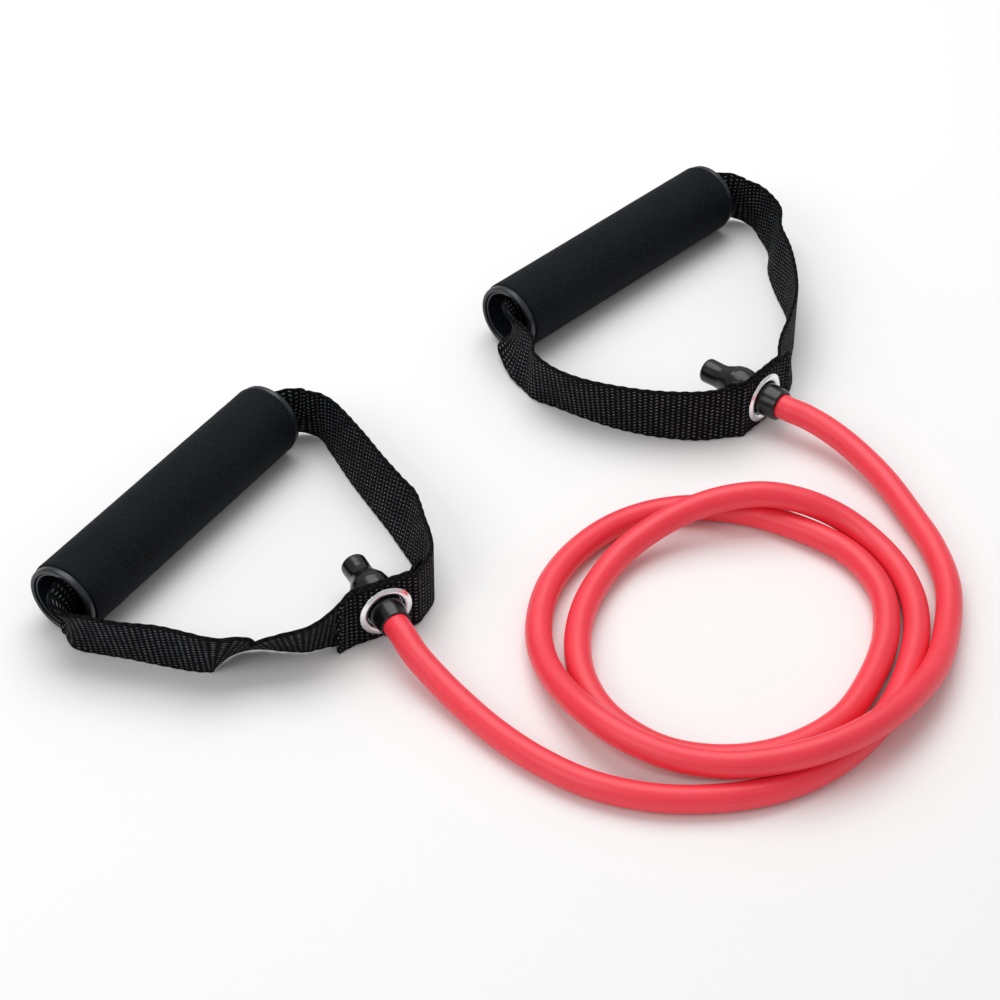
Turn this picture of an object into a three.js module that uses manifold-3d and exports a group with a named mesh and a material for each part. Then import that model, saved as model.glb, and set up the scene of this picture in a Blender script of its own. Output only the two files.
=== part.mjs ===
// Resistance band: a coiled rubber exercise tube with a webbing loop and a foam grip at each end.
// Millimetres, +Z up, the grips and the coil lying on z = 0.
import * as THREE from "three";
import Module from "manifold-3d";

// ---- driving dimensions -------------------------------------------------------------------
const GAP = 0.3; // between neighbouring pieces
const SIDES = 24; // round pieces

const TUBE_OD = 10;
const TUBE_SIDES = 10;
const TUBE_REST = 5.1; // height of the tube's centreline where it lies on the floor
const LEAD_LENGTH = 88; // free tube between each sleeve and the coil
const LEAD_STEPS = 6;
const LOOP_STEPS = 66;

const GRIP_LENGTH = 130; // over both collars
const FOAM_OD = 30;
const FOAM_ROUND = 1.2;
const CORE_OD = 24.6;
const CORE_BORE = 22.8;
const CORE_RECESS = 0.8;
const COLLAR_OD = 28.8;
const COLLAR_SLEEVE_OD = 26.6;
const COLLAR_FLANGE = 2.5;
const COLLAR_SLEEVE = 8;

const STRAP_WIDTH = 25;
const STRAP_THICKNESS = 1.4;
const STRAP_STEP = 3; // between bends of the modelled webbing
const STRAP_CUP = 0.086; // curvature across the webbing inside the bore, 1/mm

const EYELET_HEIGHT = STRAP_WIDTH / 2;
const EYELET_BORE = 14.4;
const EYELET_WALL = 0.5;
const EYELET_DOME = 0.9;
const WASHER_THICKNESS = 0.8;
const STRAP_HOLE = EYELET_BORE + 2 * (EYELET_WALL + GAP);
const EYELET_OD = STRAP_HOLE + 5;
const DRAWN_EYELET_OD = 21; // the eyelet that the webbing's stations are laid out for

const SLEEVE_OD = 13.8;
const SLEEVE_MOUTH = 10.5; // how far the sleeve stands out in front of the webbing
const SLEEVE_TAIL = 27.5; // and behind it
const BALL_OD = 9.4;
const BALL_AT = -10.5; // along the sleeve, from the eyelet's centre
const TUBE_BORE = 6;

// Each handle: outer ends of its grip, its eyelet and the way the tube leaves the eyelet.
const LEFT = { side: "left", near: [-137.5, -125], yaw: 57.87, eyelet: [-19.5, -125], exit: -63 };
const RIGHT = { side: "right", near: [25.6, 50], yaw: 46, eyelet: [128, 1.5], exit: -40 };

// The tube's way round the coil, from the left sleeve to the right one.
const FLOOR = TUBE_REST;
const COIL = [
  [-7.6, -147, 10.2], [0.6, -157.3, 7.5], [9, -167.3, 5.9], [21, -181, FLOOR], [36, -195, FLOOR],
  [54, -206.5, FLOOR], [75, -212.8, FLOOR], [96, -213.3, FLOOR], [114, -210, FLOOR],
  [129, -203.5, FLOOR], [142, -194, FLOOR], [153, -182, FLOOR], [163, -167, FLOOR],
  [170.5, -149, FLOOR], [175.5, -130, FLOOR], [176.3, -112, FLOOR], [172.5, -95, 5.2],
  [164.5, -81, 6.6], [153, -71, 10], [139, -66, 13.8], [124, -64.3, 15.8], [107, -66.8, 15.2],
  [92, -72, 12.7], [80, -79, 9.8], [70, -87.5, 7.3], [61.5, -99.5, 5.6], [54.5, -116, FLOOR],
  [51.3, -135, FLOOR], [53, -155, FLOOR], [61.5, -174, FLOOR], [79, -189.5, FLOOR],
  [100, -194.3, FLOOR], [122, -190, FLOOR], [143, -175.5, FLOOR], [157, -152.5, FLOOR],
  [164.5, -129.5, FLOOR], [164.6, -106, FLOOR], [155, -86, FLOOR], [137, -71.5, FLOOR],
  [117, -62.3, FLOOR], [99, -59.6, FLOOR], [82, -62.5, FLOOR], [66, -71, FLOOR], [51.5, -86, FLOOR],
  [41.5, -104.5, FLOOR], [37.3, -125, FLOOR], [38.5, -144, 6.2], [44.5, -162.5, 9.2],
  [56.5, -182, 12.3], [69, -193.5, 12.8], [84, -201.5, 12.7], [102, -205, 13.1], [120, -204, 14.9],
  [136, -199, 15.8], [152, -189, 15.6], [166.5, -173.5, 13.4], [178.5, -154, 9.3],
  [186.5, -130, 5.7], [190.2, -105, FLOOR], [187.5, -83, FLOOR], [181.5, -64.5, 5.4],
  [173, -44, 6.7], [163, -28.5, 8.7], [153.2, -17.8, 10.7], [144.5, -10.8, 11.9],
];

// The webbing's stations, from one cut end to the other. Each: place, two distances, lean of the
// upper edge away from the loop in degrees, share of the cupping.
//   eye    along the band, out along the tube, from the eyelet's centre
//   front, far    share of the way from the grip's mouth to the eyelet, bulge away from the loop
//   near, end    out of the grip's mouth, across towards the eyelet
const LAYER = (STRAP_THICKNESS + GAP) / 2;
const LEFT_STRAP = [
  ["eye", 17.2, -6.3, 3, 0], ["eye", 13.6, -2.9, 1, 0], ["eye", 11.4, -LAYER, 0, 0],
  ["eye", 10.4, -LAYER, 0, 0], ["eye", 0, -LAYER, 0, 0], ["eye", -10.5, -LAYER, 0, 0],
  ["eye", -12, -LAYER, 0, 0], ["front", 0.84, 11, 17, 0], ["front", 0.764, 16.3, 28, 0],
  ["front", 0.68, 17.3, 36, 0], ["front", 0.585, 18.3, 44, 0], ["front", 0.5, 24.6, 22, 0],
  ["front", 0.43, 23.8, 15, 0], ["front", 0.33, 20.6, 13, 0], ["front", 0.2, 17.2, 17, 0],
  ["front", 0.105, 13.6, 16, 0.1], ["near", 6, 9.4, 16, 0.35], ["near", 3.4, 6.2, 8, 0.7],
  ["near", -1, 4.9, 0, 1], ["near", -14, 4.8, 0, 1], ["end", -14, 4.8, 0, 1],
  ["end", -1, 4.8, -2, 0.95], ["end", 4, 5.8, -7, 0.65], ["end", 9.6, 8.6, -11, 0.3],
  ["end", 12, 14.8, -5, 0.1], ["end", 10, 22.4, 4, 0], ["far", 0.285, 22.9, 11, 0],
  ["far", 0.432, 24.4, 12, 0], ["far", 0.565, 26.1, 14, 0], ["far", 0.63, 27, 17, 0],
  ["far", 0.69, 26.7, 14, 0], ["far", 0.77, 26, 8, 0], ["eye", 27, -18.6, 2, 0],
  ["eye", 23.6, -8.2, 0, 0], ["eye", 17.4, -2.4, 0, 0], ["eye", 12.6, LAYER, 0, 0],
  ["eye", 11, LAYER, 0, 0], ["eye", 0, LAYER, 0, 0], ["eye", -11, LAYER, 0, 0],
  ["eye", -12.5, LAYER + 0.1, 0, 0], ["eye", -19.5, 3.2, 4, 0],
];
const RIGHT_STRAP = [
  ["eye", 16.8, 1.1, 0, 0], ["eye", 11, LAYER, 0, 0], ["eye", 0, LAYER, 0, 0],
  ["eye", -11, LAYER, 0, 0], ["eye", -12.6, LAYER, 0, 0], ["eye", -16.5, -2.6, 0, 0],
  ["front", 0.856, 22.7, 2, 0], ["front", 0.717, 28.9, 6, 0], ["front", 0.575, 31.9, 10, 0],
  ["front", 0.432, 32.3, 14, 0], ["front", 0.317, 30.5, 13, 0], ["front", 0.225, 27.2, 3, 0],
  ["near", 13.2, 25.6, -10, 0.05], ["near", 10.6, 19.4, -14, 0.15], ["near", 8, 14.4, -13, 0.3],
  ["near", 5.4, 10.2, -10, 0.55], ["near", 2.8, 6.9, -6, 0.85], ["near", -1, 5, 0, 1],
  ["near", -14, 4.8, 0, 1], ["end", -14, 4.8, 0, 1], ["end", -1, 4.8, -2, 0.95],
  ["end", 4.6, 6.8, -7, 0.6], ["end", 8.6, 11.8, -10, 0.25], ["end", 9.7, 18.1, -4, 0.08],
  ["end", 7.8, 25, 3, 0], ["far", 0.186, 25.2, 7, 0], ["far", 0.284, 23, 8, 0],
  ["far", 0.395, 23.8, 10, 0], ["far", 0.52, 24.4, 4, 0], ["far", 0.63, 23, 0, 0],
  ["far", 0.738, 18.5, -3, 0], ["far", 0.834, 14.6, -12, 0], ["eye", 18.4, -2.5, -9, 0],
  ["eye", 12.6, -LAYER, 0, 0], ["eye", 11, -LAYER, 0, 0], ["eye", 0, -LAYER, 0, 0],
  ["eye", -10.2, -LAYER, 0, 0], ["eye", -11.2, -LAYER, 0, 0], ["eye", -14, -3.2, 0, 0],
  ["eye", -17, -6, 0, 0],
];

// ---- materials ----------------------------------------------------------------------------
const paint = (color, roughness, metalness = 0) =>
  new THREE.MeshStandardMaterial({ color, roughness, metalness });
const LOOKS = {
  tube: () => paint(0xe8303f, 0.4),
  foam: () => paint(0x14161c, 0.95),
  plastic: () => paint(0x23262c, 0.45),
  webbing: () => paint(0x101113, 0.9),
  chrome: () => paint(0xd8d8da, 0.15, 1),
  rubber: () => paint(0x0d0e10, 0.5),
};

// ---- helpers ------------------------------------------------------------------------------
const wasm = await Module();
wasm.setup();
const rad = THREE.MathUtils.degToRad;
const heading = (degrees) => new THREE.Vector2(Math.cos(rad(degrees)), Math.sin(rad(degrees)));

function piece(name, geometry, look) {
  const mesh = new THREE.Mesh(geometry, LOOKS[look]());
  mesh.name = name;
  return mesh;
}

// A round piece along +X from a closed outline of [x, radius] points, with a flat facing down.
function turned(outline) {
  const across = 1 / Math.cos(Math.PI / SIDES);
  const points = outline.map(([x, r]) => new THREE.Vector2(r * across, x));
  if (THREE.ShapeUtils.area(points) < 0) points.reverse();
  points.push(points[0].clone());
  const geometry = new THREE.LatheGeometry(points, SIDES, Math.PI / SIDES, 2 * Math.PI);
  return geometry.rotateZ(-Math.PI / 2);
}

// Points of a ball's outline round x = at, from angle a to angle b measured from +X.
function ballArc(at, radius, a, b, count) {
  return Array.from({ length: count }, (_, i) => {
    const angle = rad(a + ((b - a) * i) / (count - 1));
    return [at + radius * Math.cos(angle), radius * Math.sin(angle)];
  });
}

function toSolid(geometry) {
  const bare = new THREE.BufferGeometry();
  bare.setAttribute("position", geometry.getAttribute("position"));
  bare.setIndex(geometry.getIndex());
  const mesh = new wasm.Mesh({
    numProp: 3,
    vertProperties: new Float32Array(bare.getAttribute("position").array),
    triVerts: new Uint32Array(bare.getIndex().array),
  });
  mesh.merge();
  return new wasm.Manifold(mesh);
}

function toGeometry(solid) {
  const mesh = solid.getMesh();
  const geometry = new THREE.BufferGeometry();
  geometry.setAttribute("position", new THREE.BufferAttribute(mesh.vertProperties, 3));
  geometry.setIndex(new THREE.BufferAttribute(mesh.triVerts, 1));
  geometry.computeVertexNormals();
  return geometry;
}

// ---- tube ---------------------------------------------------------------------------------
// A stretch of another curve, between two distances along it.
class Stretch extends THREE.Curve {
  constructor(whole, from, to) {
    super();
    Object.assign(this, { whole, from, to });
  }
  getPoint(t, target = new THREE.Vector3()) {
    const length = this.whole.getLength();
    return this.whole.getPointAt((this.from + (this.to - this.from) * t) / length, target);
  }
}

function onAxis(handle, x) {
  const out = heading(handle.exit).multiplyScalar(x);
  return new THREE.Vector3(handle.eyelet[0] + out.x, handle.eyelet[1] + out.y, EYELET_HEIGHT);
}

function tubeCentreline() {
  const start = SLEEVE_MOUTH - 4 * GAP;
  const ends = [LEFT, RIGHT].map((handle) => [onAxis(handle, start), onAxis(handle, start + 6)]);
  const coil = COIL.map((point) => new THREE.Vector3(...point));
  const points = [...ends[0], ...coil, ends[1][1], ends[1][0]];
  const curve = new THREE.CatmullRomCurve3(points, false, "centripetal");
  curve.arcLengthDivisions = 2000;
  return curve;
}

function tubeStretch(curve, from, to, steps) {
  const ring = Array.from({ length: TUBE_SIDES }, (_, i) => {
    const angle = (2 * Math.PI * i) / TUBE_SIDES;
    return new THREE.Vector2(Math.cos(angle), Math.sin(angle)).multiplyScalar(TUBE_OD / 2);
  });
  const extrudePath = new Stretch(curve, from, to);
  return new THREE.ExtrudeGeometry(new THREE.Shape(ring), { steps, extrudePath });
}

function tube() {
  const curve = tubeCentreline();
  const total = curve.getLength();
  const loopEnd = total - LEAD_LENGTH;
  const group = new THREE.Group();
  group.add(
    piece("left_tube_lead", tubeStretch(curve, 0, LEAD_LENGTH, LEAD_STEPS), "tube"),
    piece("tube_loop", tubeStretch(curve, LEAD_LENGTH + GAP, loopEnd - GAP, LOOP_STEPS), "tube"),
    piece("right_tube_lead", tubeStretch(curve, loopEnd, total, LEAD_STEPS), "tube"),
  );
  return group;
}

// ---- grip ---------------------------------------------------------------------------------
function foamOutline() {
  const start = COLLAR_FLANGE + GAP;
  const end = GRIP_LENGTH - start;
  const outer = FOAM_OD / 2;
  const inner = CORE_OD / 2 + GAP;
  const counterbore = COLLAR_SLEEVE_OD / 2 + GAP;
  const step = COLLAR_FLANGE + COLLAR_SLEEVE + GAP;
  const half = FOAM_ROUND * 0.3;
  return [
    [start, counterbore], [start, outer - FOAM_ROUND], [start + half, outer - half],
    [start + FOAM_ROUND, outer], [end - FOAM_ROUND, outer], [end - half, outer - half],
    [end, outer - FOAM_ROUND], [end, counterbore], [GRIP_LENGTH - step, counterbore],
    [GRIP_LENGTH - step, inner], [step, inner], [step, counterbore],
  ];
}

function coreOutline() {
  const end = GRIP_LENGTH - CORE_RECESS;
  return [
    [CORE_RECESS, CORE_BORE / 2], [CORE_RECESS, CORE_OD / 2],
    [end, CORE_OD / 2], [end, CORE_BORE / 2],
  ];
}

// A collar with its outer face at x = 0, reaching into the grip along +X.
function collarOutline() {
  const bore = CORE_OD / 2 + GAP;
  const rim = COLLAR_OD / 2;
  const edge = 0.4;
  const sleeve = COLLAR_SLEEVE_OD / 2;
  const end = COLLAR_FLANGE + COLLAR_SLEEVE;
  return [
    [0, bore], [0, rim - edge], [edge, rim], [COLLAR_FLANGE, rim],
    [COLLAR_FLANGE, sleeve], [end, sleeve], [end, bore],
  ];
}

function grip({ side, near, yaw }) {
  const farCollar = turned(collarOutline()).rotateZ(Math.PI).translate(GRIP_LENGTH, 0, 0);
  const group = new THREE.Group();
  group.add(
    piece(side + "_foam_grip", turned(foamOutline()), "foam"),
    piece(side + "_grip_core", turned(coreOutline()), "plastic"),
    piece(side + "_near_collar", turned(collarOutline()), "plastic"),
    piece(side + "_far_collar", farCollar, "plastic"),
  );
  group.position.set(near[0], near[1], FOAM_OD / 2);
  group.rotation.z = rad(yaw);
  return group;
}

// ---- webbing loop -------------------------------------------------------------------------
// Where a station is, seen from above.
function placed({ near, yaw, eyelet, exit }, place, along, across) {
  const axis = heading(yaw);
  const mouths = {
    near: new THREE.Vector2(...near),
    far: new THREE.Vector2(...near).addScaledVector(axis, GRIP_LENGTH),
  };
  const centre = new THREE.Vector2(...eyelet);
  if (place === "eye") {
    const aside = along * (EYELET_OD / DRAWN_EYELET_OD);
    return centre.addScaledVector(heading(exit + 90), aside).addScaledVector(heading(exit), across);
  }
  if (place === "near" || place === "end") {
    const mouth = place === "near" ? mouths.near : mouths.far;
    const out = place === "near" ? -along : along;
    return mouth.addScaledVector(axis, out).addScaledVector(heading(yaw - 90), across);
  }
  const from = place === "front" ? mouths.near : mouths.far;
  const chord = centre.clone().sub(from);
  const turn = place === "front" ? -1 : 1;
  const away = new THREE.Vector2(-turn * chord.y, turn * chord.x).normalize();
  return from.addScaledVector(chord, along).addScaledVector(away, across);
}

// Height of the webbing's centreline: on edge on the floor, lifted to the axis inside the grip.
function height(lean, cup) {
  const standing = (STRAP_WIDTH * Math.cos(lean) + STRAP_THICKNESS * Math.abs(Math.sin(lean))) / 2;
  return THREE.MathUtils.lerp(standing + 0.2, FOAM_OD / 2, Math.min(1, cup * cup * 1.5));
}

function strapGeometry(handle, stations) {
  const points = [];
  const shapes = [];
  for (const [place, along, across, leanDegrees, cup] of stations) {
    const lean = rad(leanDegrees);
    const flat = placed(handle, place, along, across);
    points.push(new THREE.Vector3(flat.x, flat.y, height(lean, cup)));
    shapes.push(new THREE.Vector3(lean, cup * STRAP_CUP, 0));
  }
  const path = new THREE.CatmullRomCurve3(points, false, "centripetal");
  path.arcLengthDivisions = 1000;
  const shape = new THREE.CatmullRomCurve3(shapes, false, "catmullrom", 0.5);
  const steps = Math.round(path.getLength() / STRAP_STEP);
  const box = new THREE.BoxGeometry(STRAP_THICKNESS, STRAP_WIDTH, 1, 1, 6, steps);
  return bent(box, path, shape);
}

// Bends a straight strip, thickness along x, width along y and length along z, onto a path.
function bent(strip, path, shape) {
  const position = strip.getAttribute("position");
  for (let i = 0; i < position.count; i++) {
    const t = path.getUtoTmapping(position.getZ(i) + 0.5);
    const { x: lean, y: curl } = shape.getPoint(t);
    const along = path.getTangent(t);
    const level = new THREE.Vector3(-along.y, along.x, 0).normalize();
    const up = along.clone().cross(level);
    const tilt = lean - position.getY(i) * curl;
    const reach = Math.abs(curl) < 1e-5 ? position.getY(i) : Math.sin(position.getY(i) * curl) / curl;
    const sag = Math.abs(curl) < 1e-5 ? 0 : (1 - Math.cos(position.getY(i) * curl)) / curl;
    const point = path.getPoint(t);
    point.addScaledVector(up, reach * Math.cos(lean) - sag * Math.sin(lean));
    point.addScaledVector(level, reach * Math.sin(lean) + sag * Math.cos(lean));
    point.addScaledVector(level, position.getX(i) * Math.cos(tilt));
    point.addScaledVector(up, -position.getX(i) * Math.sin(tilt));
    position.setXYZ(i, point.x, point.y, point.z);
  }
  return strip;
}

function strap(handle, stations) {
  const cutter = new THREE.CylinderGeometry(STRAP_HOLE / 2, STRAP_HOLE / 2, 12, SIDES);
  cutter.rotateZ(-Math.PI / 2).rotateZ(rad(handle.exit));
  cutter.translate(handle.eyelet[0], handle.eyelet[1], EYELET_HEIGHT);
  const solid = toSolid(strapGeometry(handle, stations)).subtract(toSolid(cutter));
  return piece(handle.side + "_strap", toGeometry(solid), "webbing");
}

// ---- eyelet, stopper and tube end, along the way the tube leaves -----------------------------
const STACK = 2 * LAYER + STRAP_THICKNESS; // both layers of webbing
const FRONT = STACK / 2 + GAP;
const WASHER_BACK = -FRONT - WASHER_THICKNESS;

function eyeletOutline() {
  const bore = EYELET_BORE / 2;
  const barrel = bore + EYELET_WALL;
  const rim = EYELET_OD / 2;
  const lip = WASHER_BACK - GAP;
  const crown = FRONT + EYELET_DOME;
  return [
    [lip - 0.65, bore + 0.6], [lip - 0.65, bore + 1.4], [lip - 0.35, bore + 1.8],
    [lip, bore + 1.8], [lip, barrel], [FRONT, barrel], [FRONT, rim], [FRONT + 0.3, rim],
    [crown - 0.2, rim - 0.6], [crown, rim - 1.5], [crown, bore + 1], [crown - 0.3, bore + 0.3],
    [crown - 0.75, bore], [lip - 0.25, bore],
  ];
}

function washerOutline() {
  const inner = STRAP_HOLE / 2;
  const outer = EYELET_OD / 2;
  return [[WASHER_BACK, inner], [WASHER_BACK, outer], [-FRONT, outer], [-FRONT, inner]];
}

function sleeveOutline() {
  const tube = TUBE_OD / 2 + GAP;
  const body = SLEEVE_OD / 2;
  const end = -SLEEVE_TAIL;
  return [
    [SLEEVE_MOUTH, tube], [SLEEVE_MOUTH, body - 1], [2, body], [-3.8, body], [-5.2, body + 0.3],
    [-7.5, body + 0.7], [BALL_AT, body + 0.9], [-13.8, body + 0.4], [-16.5, body - 0.9],
    [-19, 5.15], [end + 5, 5.1], [end + 1.6, 5.2], [end + 0.5, 4.3], [end, 2.6], [end, 0],
    [end + 1.2, 0], [end + 1.2, 4.4], [-18, 4.4], [-14.4, 6.1], [BALL_AT, 6.7],
    [-7.4, 6.3], [-5, tube],
  ];
}

function tubeEndOutline() {
  const outer = TUBE_OD / 2;
  const bore = TUBE_BORE / 2;
  const start = SLEEVE_MOUTH - 5 * GAP;
  const end = GAP - SLEEVE_TAIL + 1.2;
  const cavity = ballArc(BALL_AT, BALL_OD / 2 + GAP + 0.1, 147, 33, 7);
  return [
    [start, bore], [start, outer], [-5, outer], [-7.6, 6], [BALL_AT, 6.4], [-14.2, 5.8],
    [-17.8, 4.1], [end, 4.1], [end, 2.2], [-15.1, 2.2], ...cavity, [-5.9, bore],
  ];
}

function loopEnd(handle, stations) {
  const { side, eyelet, exit } = handle;
  const turnedOut = new THREE.Group();
  turnedOut.add(
    piece(side + "_eyelet", turned(eyeletOutline()), "chrome"),
    piece(side + "_eyelet_washer", turned(washerOutline()), "chrome"),
    piece(side + "_stopper_sleeve", turned(sleeveOutline()), "rubber"),
    piece(side + "_tube_end", turned(tubeEndOutline()), "tube"),
    piece(side + "_stopper_ball", stopperBall(), "plastic"),
  );
  turnedOut.position.set(eyelet[0], eyelet[1], EYELET_HEIGHT);
  turnedOut.rotation.z = rad(exit);
  const group = new THREE.Group();
  group.add(turnedOut, strap(handle, stations));
  return group;
}

function stopperBall() {
  return new THREE.SphereGeometry(BALL_OD / 2, 20, 12).translate(BALL_AT, 0, 0);
}

// ---- the band -----------------------------------------------------------------------------
const band = new THREE.Group();
band.name = "resistance_band";
band.add(tube(), grip(LEFT), grip(RIGHT), loopEnd(LEFT, LEFT_STRAP), loopEnd(RIGHT, RIGHT_STRAP));

export default band;
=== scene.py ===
"""A resistance band: a coiled rubber tube with a webbing loop and a foam grip at each end."""
import logging
import math
import random
from bisect import bisect_left
from dataclasses import dataclass, field
from enum import Enum
from typing import Any, Callable, Sequence

import bmesh
import bpy
from mathutils import Matrix, Vector


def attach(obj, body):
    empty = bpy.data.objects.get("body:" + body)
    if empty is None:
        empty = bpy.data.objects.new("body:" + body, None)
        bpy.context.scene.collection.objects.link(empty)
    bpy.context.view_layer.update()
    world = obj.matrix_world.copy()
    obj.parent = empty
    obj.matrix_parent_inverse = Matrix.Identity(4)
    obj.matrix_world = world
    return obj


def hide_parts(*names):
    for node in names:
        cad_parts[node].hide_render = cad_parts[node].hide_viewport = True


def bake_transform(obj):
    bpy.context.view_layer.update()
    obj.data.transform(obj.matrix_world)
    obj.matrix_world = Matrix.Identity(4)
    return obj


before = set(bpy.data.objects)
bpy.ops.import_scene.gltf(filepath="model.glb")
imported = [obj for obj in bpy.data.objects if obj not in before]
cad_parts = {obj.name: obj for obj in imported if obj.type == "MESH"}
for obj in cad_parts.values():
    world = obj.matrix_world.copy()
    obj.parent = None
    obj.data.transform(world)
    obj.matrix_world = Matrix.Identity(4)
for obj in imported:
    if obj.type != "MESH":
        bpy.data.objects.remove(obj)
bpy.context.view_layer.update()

log = logging.getLogger("resistance_band")

# ---- sizes, in metres ----
GAP = 0.0003  # left between neighbouring pieces
GRIP_LENGTH = 0.130
FOAM_OD = 0.030
CORE_OD = 0.0246
CORE_BORE = 0.0228
CORE_RECESS = 0.0008  # how far the core stays inside the collars
COLLAR_OD = 0.0288
COLLAR_SLEEVE_OD = 0.0266
COLLAR_FLANGE = 0.0025
COLLAR_SLEEVE = 0.008
STRAP_WIDTH = 0.025
STRAP_THICKNESS = 0.0014
STRAP_CUP = 86.0  # the webbing's curl inside the grip, in 1/m
LAYER = (STRAP_THICKNESS + GAP) / 2  # each layer's middle from the joint at the eyelet
EYELET_HEIGHT = STRAP_WIDTH / 2
SLEEVE_MOUTH = 0.0105  # in front of the eyelet's middle
SLEEVE_TAIL = 0.0275  # behind the eyelet's middle
BALL_AT = -0.0105
TUBE_OD = 0.010
REST = 0.0051  # the tube's axis where it lies on the floor
LEAD_LENGTH = 0.088

# ---- how finely and how closely things are made ----
ROUND = 96  # faces round a turned piece
TINY = 1e-6  # lengths under this count as nothing
WELD = 2e-6  # corners of a turned piece this close are joined
ON_AXIS = 1e-7  # radii under this are on the axis
UPRIGHT = 0.9  # the vertical share from which a line counts as upright
UV_NAME = "UVMap"


class Side(Enum):
    """Which end of the band a piece belongs to."""

    LEFT = "left"
    RIGHT = "right"


class Place(Enum):
    """What a webbing station is measured from."""

    EYE = "eye"
    FRONT = "front"
    FAR = "far"
    NEAR = "near"
    END = "end"


class Slot(Enum):
    """The record's material slots."""

    TUBE = "tube_rubber"
    FOAM = "foam"
    CORE = "core_plastic"
    COLLAR = "collar_plastic"
    WEBBING = "webbing"
    EYELET = "eyelet_metal"
    STOPPER = "stopper_rubber"


EYE, FRONT, FAR, NEAR, END = Place
Station = tuple[Place, float, float, float, float]

# The tube's way round the coil, from the left sleeve to the right one.
COIL = (
    (-0.0076, -0.147, 0.0102), (0.0006, -0.1573, 0.0075), (0.009, -0.1673, 0.0059),
    (0.021, -0.181, REST), (0.036, -0.195, REST), (0.054, -0.2065, REST), (0.075, -0.2128, REST),
    (0.096, -0.2133, REST), (0.114, -0.21, REST), (0.129, -0.2035, REST), (0.142, -0.194, REST),
    (0.153, -0.182, REST), (0.163, -0.167, REST), (0.1705, -0.149, REST), (0.1755, -0.13, REST),
    (0.1763, -0.112, REST), (0.1725, -0.095, 0.0052), (0.1645, -0.081, 0.0066),
    (0.153, -0.071, 0.01), (0.139, -0.066, 0.0138), (0.124, -0.0643, 0.0158),
    (0.107, -0.0668, 0.0152), (0.092, -0.072, 0.0127), (0.08, -0.079, 0.0098),
    (0.07, -0.0875, 0.0073), (0.0615, -0.0995, 0.0056), (0.0545, -0.116, REST),
    (0.0513, -0.135, REST), (0.053, -0.155, REST), (0.0615, -0.174, REST), (0.079, -0.1895, REST),
    (0.1, -0.1943, REST), (0.122, -0.19, REST), (0.143, -0.1755, REST), (0.157, -0.1525, REST),
    (0.1645, -0.1295, REST), (0.1646, -0.106, REST), (0.155, -0.086, REST),
    (0.137, -0.0715, REST), (0.117, -0.0623, REST), (0.099, -0.0596, REST),
    (0.082, -0.0625, REST), (0.066, -0.071, REST), (0.0515, -0.086, REST),
    (0.0415, -0.1045, REST), (0.0373, -0.125, REST), (0.0385, -0.144, 0.0062),
    (0.0445, -0.1625, 0.0092), (0.0565, -0.182, 0.0123), (0.069, -0.1935, 0.0128),
    (0.084, -0.2015, 0.0127), (0.102, -0.205, 0.0131), (0.12, -0.204, 0.0149),
    (0.136, -0.199, 0.0158), (0.152, -0.189, 0.0156), (0.1665, -0.1735, 0.0134),
    (0.1785, -0.154, 0.0093), (0.1865, -0.13, 0.0057), (0.1902, -0.105, REST),
    (0.1875, -0.083, REST), (0.1815, -0.0645, 0.0054), (0.173, -0.044, 0.0067),
    (0.163, -0.0285, 0.0087), (0.1532, -0.0178, 0.0107), (0.1445, -0.0108, 0.0119),
)

# The webbing's stations: place, two distances, lean in degrees, share of the cupping.
LEFT_STRAP: tuple[Station, ...] = (
    (EYE, 0.0172, -0.0063, 3, 0), (EYE, 0.0136, -0.0029, 1, 0), (EYE, 0.0114, -LAYER, 0, 0),
    (EYE, 0.0104, -LAYER, 0, 0), (EYE, 0.0, -LAYER, 0, 0), (EYE, -0.0105, -LAYER, 0, 0),
    (EYE, -0.012, -LAYER, 0, 0), (FRONT, 0.84, 0.011, 17, 0), (FRONT, 0.764, 0.0163, 28, 0),
    (FRONT, 0.68, 0.0173, 36, 0), (FRONT, 0.585, 0.0183, 44, 0), (FRONT, 0.5, 0.0246, 22, 0),
    (FRONT, 0.43, 0.0238, 15, 0), (FRONT, 0.33, 0.0206, 13, 0), (FRONT, 0.2, 0.0172, 17, 0),
    (FRONT, 0.105, 0.0136, 16, 0.1), (NEAR, 0.006, 0.0094, 16, 0.35),
    (NEAR, 0.0034, 0.0062, 8, 0.7), (NEAR, -0.001, 0.0049, 0, 1), (NEAR, -0.014, 0.0048, 0, 1),
    (END, -0.014, 0.0048, 0, 1), (END, -0.001, 0.0048, -2, 0.95), (END, 0.004, 0.0058, -7, 0.65),
    (END, 0.0096, 0.0086, -11, 0.3), (END, 0.012, 0.0148, -5, 0.1), (END, 0.01, 0.0224, 4, 0),
    (FAR, 0.285, 0.0229, 11, 0), (FAR, 0.432, 0.0244, 12, 0), (FAR, 0.565, 0.0261, 14, 0),
    (FAR, 0.63, 0.027, 17, 0), (FAR, 0.69, 0.0267, 14, 0), (FAR, 0.77, 0.026, 8, 0),
    (EYE, 0.027, -0.0186, 2, 0), (EYE, 0.0236, -0.0082, 0, 0), (EYE, 0.0174, -0.0024, 0, 0),
    (EYE, 0.0126, LAYER, 0, 0), (EYE, 0.011, LAYER, 0, 0), (EYE, 0.0, LAYER, 0, 0),
    (EYE, -0.011, LAYER, 0, 0), (EYE, -0.0125, LAYER, 0, 0), (EYE, -0.0195, 0.0032, 4, 0),
)
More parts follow.
